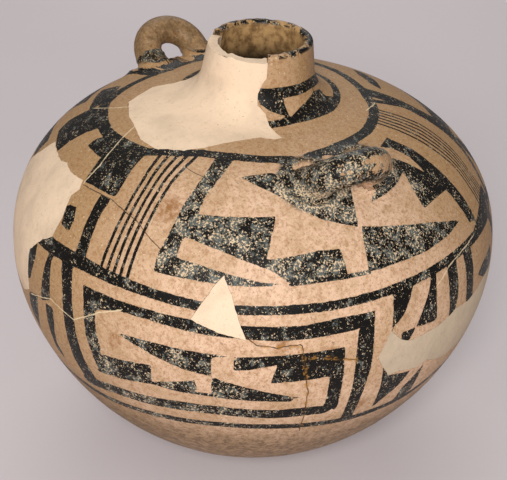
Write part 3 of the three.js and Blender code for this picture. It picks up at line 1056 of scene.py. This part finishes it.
def line_off(g, name, sway_mm=0.35):
    """Distance in mm to a thin line, true also between the points of the mesh."""
    sway = (g.grain["sway"], sway_mm * 4, -sway_mm * 2)
    sway = g.add("Math", sway, operation="MULTIPLY_ADD")
    side = g.add("Math", (g.wall[name + "_side"], sway), operation="ADD")
    off = g.add("Math", (side,), operation="ABSOLUTE")
    beyond = g.add("MapRange", (g.wall[name + "_off"], 1.4, 1.9, 0, FAR), **SMOOTH)
    return g.add("Math", (off, beyond), operation="ADD")


def brushed_edge(g):
    """How far the edge of the paint wanders, in mm."""
    hairs = g.add("Math", (g.grain["brush hairs"], 0.5, -0.25), operation="MULTIPLY_ADD")
    wobble = g.add("Math", (g.grain["brush edge"], 0.9, -0.45), operation="MULTIPLY_ADD")
    return g.add("Math", (wobble, hairs), operation="ADD")


def fine_lines_off(g):
    """Distance in mm to the nearest line of the fine bands or other thin line."""
    across = g.add("Math", (g.wall["across"], 0.5), operation="ADD")
    phase = g.add("Math", (across,), operation="FRACT")
    off = g.add("Math", (phase, 0.5), operation="SUBTRACT")
    off = g.add("Math", (off,), operation="ABSOLUTE")
    off = g.add("Math", (off, FINE_LINE_SHARE / 2), operation="SUBTRACT")
    off = g.add("Math", (off, g.wall["step"]), operation="MULTIPLY")
    off = g.add("Math", (off, g.wall["edge"]), operation="MAXIMUM")
    thin = g.add("Math", (line_off(g, "thin", 0.1), THIN_LINE_WIDTH / 2), operation="SUBTRACT")
    return g.add("Math", (off, thin), operation="MINIMUM")


def painted_share(g, wobble):
    """Where the black paint lies, from the fields of the pattern."""
    lines = (wobble, 0.6, fine_lines_off(g))
    lines = g.add("Math", lines, operation="MULTIPLY_ADD")
    shapes = g.add("Math", (g.wall["paint"], wobble), operation="ADD")
    off = g.add("Math", (shapes, lines), operation="MINIMUM")
    painted = g.add("MapRange", (off, -0.15, 0.15, 1, 0), **SMOOTH)
    # The handles have their own paint, rubbed off where a hand or a cord holds them
    rubbed = g.add("Math", (g.grain["rubbed"], 2.4, -1.2), operation="MULTIPLY_ADD")
    rubbed = g.add("Math", (g.wall["coverage"], rubbed), operation="ADD")
    on_loop = g.add("MapRange", (rubbed, 0.35, 0.6), **SMOOTH)
    change = g.add("Math", (on_loop, painted), operation="SUBTRACT")
    painted = g.add("Math", (g.wall["loop"], change, painted), operation="MULTIPLY_ADD")
    outside = g.add("Math", (1, g.wall["inside"]), operation="SUBTRACT")
    painted = g.add("Math", (painted, outside), operation="MULTIPLY")
    rim = g.add("MapRange", (g.grain["worn rim"], 0.42, 0.5), **SMOOTH)
    rim = g.add("Math", (g.wall["lip"], rim), operation="MULTIPLY")
    return g.add("Math", (painted, rim), operation="MAXIMUM")


def slip_colour(g, colours):
    """Pinkish in the front panels and more olive to the back, darker towards the foot as painted
    shade, mottled and speckled.
    """
    slip = g.coated(colours.slip, (g.wall["tone"], colours.slip_dark))
    for grain, low, high, most, tint in (
            ("smoke", 0.4, 0.7, 0.45, colours.slip_dark),
            ("cloud", 0.45, 0.68, 0.5, colours.slip_dark),
            ("stain", 0.45, 0.66, 0.45, colours.slip_stain),
            ("temper", 0.52, 0.66, 0.5, colours.slip_stain),
            ("grey grit", 0.67, 0.74, 0.7, colours.paint_worn),
            ("pale grit", 0.61, 0.68, 0.6, colours.bare)):
        mask = g.add("MapRange", (g.grain[grain], low, high, 0, most), **SMOOTH)
        slip = g.coated(slip, (mask, tint))
    spread = g.add("MapRange", (g.grain["soaking"], 0.35, 0.6, 0.2, 0.8), **SMOOTH)
    spread = g.add("Math", (g.wall["soaked"], spread), operation="MULTIPLY")
    return g.coated(slip, (spread, colours.slip_stain))


def paint_colour(g, colours, slip):
    """Black paint, rubbed to a grey film and chipped down to the clay, and its chips."""
    wear = g.add("Math", (g.grain["wear"], 2.6, -1.3), operation="MULTIPLY_ADD")
    wear = g.add("Math", (wear, g.wall["wear"]), operation="ADD")
    wear = g.add("Math", (g.wall["loop"], 0.5, wear), operation="MULTIPLY_ADD")
    level = g.add("Math", (wear, -0.11, 0.66), operation="MULTIPLY_ADD")
    chipped = g.add("Math", (g.grain["chips"], level), operation="SUBTRACT")
    chipped = g.add("MapRange", (chipped, -0.015, 0.02), **SMOOTH)
    level = g.add("Math", (wear, -0.26, 0.72), operation="MULTIPLY_ADD")
    film = g.add("Math", (g.grain["film"], level), operation="SUBTRACT")
    film = g.add("MapRange", (film, -0.06, 0.12, 0, 0.6), **SMOOTH)
    flake = g.coated(colours.bare, (0.4, slip))
    return g.coated(colours.paint, (film, colours.paint_worn), (chipped, flake)), chipped


def clay_material(colours, fields):
    """Low-fired earthenware under a polished slip, painted in worn mineral black.

    It looks matt to satin and warm, mottled by the fire, with grit and chipped paint.
    """
    g = Graph("painted clay", colours.slip, CLAY_GRAINS, fields)
    wobble = brushed_edge(g)
    painted = painted_share(g, wobble)
    slip = slip_colour(g, colours)
    black, chipped = paint_colour(g, colours, slip)
    # Painted shade, mottled: darker towards the foot and over the back handle
    painted_shade = g.add("MapRange", (g.grain["painted_shade"], 0.35, 0.62, 0.55, 1.4), **SMOOTH)
    painted_shade = g.add("Math", (g.wall["shade"], painted_shade), operation="MULTIPLY")
    # Brown soaking beside the cracks, then the cracks and the pale joins themselves
    brown = line_off(g, "brown", 0.7)
    beside = g.add("MapRange", (brown, 0.3, 1.4, 1, 0), **SMOOTH)
    rust = g.add("MapRange", (g.grain["soaking"], 0.45, 0.6, 0, 0.75), **SMOOTH)
    rust = g.add("Math", (beside, rust), operation="MULTIPLY")
    crack = g.add("Math", (line_off(g, "dark"), brown), operation="MINIMUM")
    crack = g.add("Math", (wobble, 0.5, crack), operation="MULTIPLY_ADD")
    cracked = g.add("MapRange", (crack, 0.05, 0.35, 0.9, 0), **SMOOTH)
    joined = g.add("Math", (wobble, 0.8, line_off(g, "pale")), operation="MULTIPLY_ADD")
    joined = g.add("MapRange", (joined, 0.1, 0.45, 0.85, 0), **SMOOTH)
    # Unpainted clay inside, with painted shade darkening it further down the neck
    patches = g.add("MapRange", (g.grain["inside"], 0.38, 0.66), **SMOOTH)
    bare = g.coated(
        colours.inside, (patches, srgb(INSIDE_PATCHES)), (g.wall["deep"], srgb(INSIDE_SHADE)))
    rimless = g.add("Math", (1, painted), operation="SUBTRACT")
    rimless = g.add("Math", (g.wall["inside"], rimless), operation="MULTIPLY")
    surface = g.coated(
        slip, (painted, black), (painted_shade, srgb(PAINTED_SHADE_TINT)), (rust, srgb(RUST)),
        (cracked, srgb(CRACK)), (joined, colours.bare), (rimless, bare))
    roughness = g.add("Math", (painted, -0.06, 0.5), operation="MULTIPLY_ADD")
    chips = g.add("Math", (chipped, painted), operation="MULTIPLY")
    height = g.add("Math", (chips, -0.35, g.grain["relief"]), operation="MULTIPLY_ADD")
    height = g.add("Math", (cracked, -1.2, height), operation="MULTIPLY_ADD")
    height = g.add("Math", (joined, 0.5, height), operation="MULTIPLY_ADD")
    return g.finish(surface, roughness, height, 0.12, 0.15)


def plaster_material(name, base, speck):
    """Gypsum plaster, filled, sanded and left matt, with pits and grit."""
    g = Graph(name, base, PLASTER_GRAINS)
    surface = base
    for grain, low, high, most in (
            ("cloud", 0.4, 0.75, 0.25), ("pits", 0.68, 0.72, 0.85), ("grit", 0.55, 0.7, 0.2)):
        mask = g.add("MapRange", (g.grain[grain], low, high, 0, most), **SMOOTH)
        surface = g.coated(surface, (mask, speck))
    height = (g.grain["swell"], 3, g.grain["filing"])
    height = g.add("Math", height, operation="MULTIPLY_ADD")
    return g.finish(surface, 0.8, height, 0.2, 0.2)


def floor_material(base):
    """Seamless studio paper, matt, with broad faint darker patches."""
    g = Graph("studio paper", base, PAPER_GRAINS)
    # Broad soft patches, slightly darker, across the paper
    broad_patches = g.add("MapRange", (g.grain["broad_patches"], 0.3, 0.7, 0, 0.06), **SMOOTH)
    surface = g.coated(base, (broad_patches, srgb(PAPER_PATCH_TINT)))
    return g.finish(surface, 0.9, g.grain["fibre"], 0.01, 0.1)


def dress(piece, node, material):
    """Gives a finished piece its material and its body."""
    piece.data.materials.clear()
    piece.data.materials.append(material)
    piece.data.polygons.foreach_set("material_index", [0] * len(piece.data.polygons))
    piece.data.polygons.foreach_set("use_smooth", [True] * len(piece.data.polygons))
    piece.data.set_sharp_from_angle(angle=math.radians(SHARP_ANGLE))
    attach(piece, "root")
    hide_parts(node)


# Plaster fills: node, record slot, outline, and seed of its uneven edge
FILLS = (
    ("fill_neck", "pale_plaster", NECK_FILL_PLAN, 3),
    ("fill_left", "pale_plaster", LEFT_FILL, 11),
    ("fill_front", "pale_plaster", FRONT_FILL, 23),
    ("fill_right", "tinted_plaster", RIGHT_FILL, 31),
)


class CANTEEN_OT_jar(bpy.types.Operator):
    """Build the clay jar, still whole, with its two handles"""

    bl_idname = "canteen.jar"
    bl_label = "Jar"

    def execute(self, context):
        whole_jar(Measured(context.scene.canteen_sizes))
        return {"FINISHED"}


class CANTEEN_OT_fills(bpy.types.Operator):
    """Cut the four plaster fills out of the whole jar"""

    bl_idname = "canteen.fills"
    bl_label = "Plaster fills"

    def execute(self, context):
        sizes = Measured(context.scene.canteen_sizes)
        colours = context.scene.canteen_colours
        jar = bpy.data.objects["jar"]
        speck = colours.plaster_speck
        materials = {
            "pale_plaster": plaster_material("pale plaster", colours.plaster, speck),
            "tinted_plaster": plaster_material("toned plaster", colours.toned, speck),
        }
        rest = copy_of(jar, "clay_vessel")
        for node, slot, outline, seed in FILLS:
            cutter = upright_cutter if node == "fill_neck" else radial_cutter
            combine(rest, cutter(sizes, outline, sizes.fill_gap, seed), "DIFFERENCE")
            fill = copy_of(jar, "plaster_" + node)
            combine(fill, cutter(sizes, outline, 0.0, seed), "INTERSECT")
            if node == "fill_neck":
                combine(fill, above_fill(sizes), "DIFFERENCE")
            hand_form(fill, sizes, NECK_FILL_RAGGED if node == "fill_neck" else 0.0)
            dress(fill, node, materials[slot])
        remove(jar)
        return {"FINISHED"}


class CANTEEN_OT_vessel(bpy.types.Operator):
    """Paint the remaining clay and give it its hand-formed unevenness"""

    bl_idname = "canteen.vessel"
    bl_label = "Painted vessel"

    def execute(self, context):
        sizes = Measured(context.scene.canteen_sizes)
        vessel = bpy.data.objects["clay_vessel"]
        fields = write_pattern(vessel, sizes)
        hand_form(vessel, sizes)
        material = clay_material(context.scene.canteen_colours, fields)
        dress(vessel, "vessel", material)
        return {"FINISHED"}


# View of the photograph, in millimetres and degrees
CAMERA_AZIMUTH = -32.85
CAMERA_ELEVATION = 31.589
CAMERA_DISTANCE = 600
CAMERA_ROLL = 1.553
CAMERA_AIM = (0.45, 0, 106)
CAMERA_LENS = 82.38
SENSOR_WIDTH = 36

# Floor in metres. Lights: name, turn from the camera and lift in degrees, reach and size in
# metres, power in watts, and how far beyond the jar they aim
FLOOR_REACH = 4
FLOOR_DROP = 0.0002
AIM_HEIGHT = 0.1
ROOM_STRENGTH = 0.3
LIGHTS = (
    ("key", -4, 33, 1.15, 0.4, 12, 0),
    ("fill", -80, 60, 1.6, 1.2, 2, 0),
    ("backdrop", 180, 65, 1.0, 1.0, 7, 0.75),
)


class CANTEEN_OT_stage(bpy.types.Operator):
    """Set the floor, the lights and the camera"""

    bl_idname = "canteen.stage"
    bl_label = "Stage"

    def execute(self, context):
        scene = context.scene
        bm = bmesh.new()
        bmesh.ops.create_grid(bm, x_segments=1, y_segments=1, size=FLOOR_REACH)
        bmesh.ops.translate(bm, verts=bm.verts, vec=(0, 0, -FLOOR_DROP))
        floor = make_object("floor", bm)
        floor.data.materials.append(floor_material(scene.canteen_colours.floor))
        scene.world = scene.world or bpy.data.worlds.new("World")
        scene.world.use_nodes = True
        background = scene.world.node_tree.nodes["Background"]
        background.inputs["Color"].default_value = (*srgb(ROOM_LIGHT), 1)
        background.inputs["Strength"].default_value = ROOM_STRENGTH
        scene.view_settings.view_transform = "Standard"
        for settings in LIGHTS:
            self.add_light(scene, *settings)
        self.add_camera(scene)
        return {"FINISHED"}

    def add_light(self, scene, name, turn, lift, reach, size, power, beyond):
        light = bpy.data.objects.new(name, bpy.data.lights.new(name, "AREA"))
        light.data.shape = "DISK"
        light.data.size = size
        light.data.energy = power
        aim = toward(CAMERA_AZIMUTH + turn, lift)
        target = toward(CAMERA_AZIMUTH + 180) * beyond + Vector((0, 0, AIM_HEIGHT))
        light.location = target + aim * reach
        light.rotation_euler = aim.to_track_quat("Z", "Y").to_euler()
        scene.collection.objects.link(light)

    def add_camera(self, scene):
        turn = Matrix.Rotation(math.radians(CAMERA_AZIMUTH + 90), 4, "Z")
        up = math.radians(CAMERA_ELEVATION)
        forward = Vector((0, math.cos(up), -math.sin(up)))
        right = Vector((1, 0, 0))
        above = right.cross(forward)
        roll = math.radians(CAMERA_ROLL)
        side = right * math.cos(roll) + above * math.sin(roll)
        top = above * math.cos(roll) - right * math.sin(roll)
        matrix = Matrix((side, top, -forward)).transposed().to_4x4()
        matrix.translation = (Vector(CAMERA_AIM) - forward * CAMERA_DISTANCE) * MM
        camera = bpy.data.objects.new("camera", bpy.data.cameras.new("camera"))
        camera.matrix_world = turn @ matrix
        camera.data.lens = CAMERA_LENS
        camera.data.sensor_width = SENSOR_WIDTH
        camera.data.clip_start = 0.01
        scene.collection.objects.link(camera)
        scene.camera = camera


class CANTEEN_PT_panel(bpy.types.Panel):
    """Sidebar panel with the canteen's sizes, colours and steps"""

    bl_label = "Canteen"
    bl_idname = "CANTEEN_PT_panel"
    bl_space_type = "VIEW_3D"
    bl_region_type = "UI"
    bl_category = "Canteen"

    def draw(self, context):
        for group in (context.scene.canteen_sizes, context.scene.canteen_colours):
            for name in group.__annotations__:
                self.layout.prop(group, name)
        for step in STEPS:
            self.layout.operator(step.bl_idname)


STEPS = (CANTEEN_OT_jar, CANTEEN_OT_fills, CANTEEN_OT_vessel, CANTEEN_OT_stage)
CLASSES = (CanteenSizes, CanteenColours, *STEPS, CANTEEN_PT_panel)


def register():
    for item in CLASSES:
        bpy.utils.register_class(item)
    bpy.types.Scene.canteen_sizes = PointerProperty(type=CanteenSizes)
    bpy.types.Scene.canteen_colours = PointerProperty(type=CanteenColours)


def unregister():
    del bpy.types.Scene.canteen_colours
    del bpy.types.Scene.canteen_sizes
    for item in reversed(CLASSES):
        bpy.utils.unregister_class(item)


def main():
    register()
    bpy.ops.canteen.jar()
    bpy.ops.canteen.fills()
    bpy.ops.canteen.vessel()
    bpy.ops.canteen.stage()


if __name__ == "__main__":
    main()
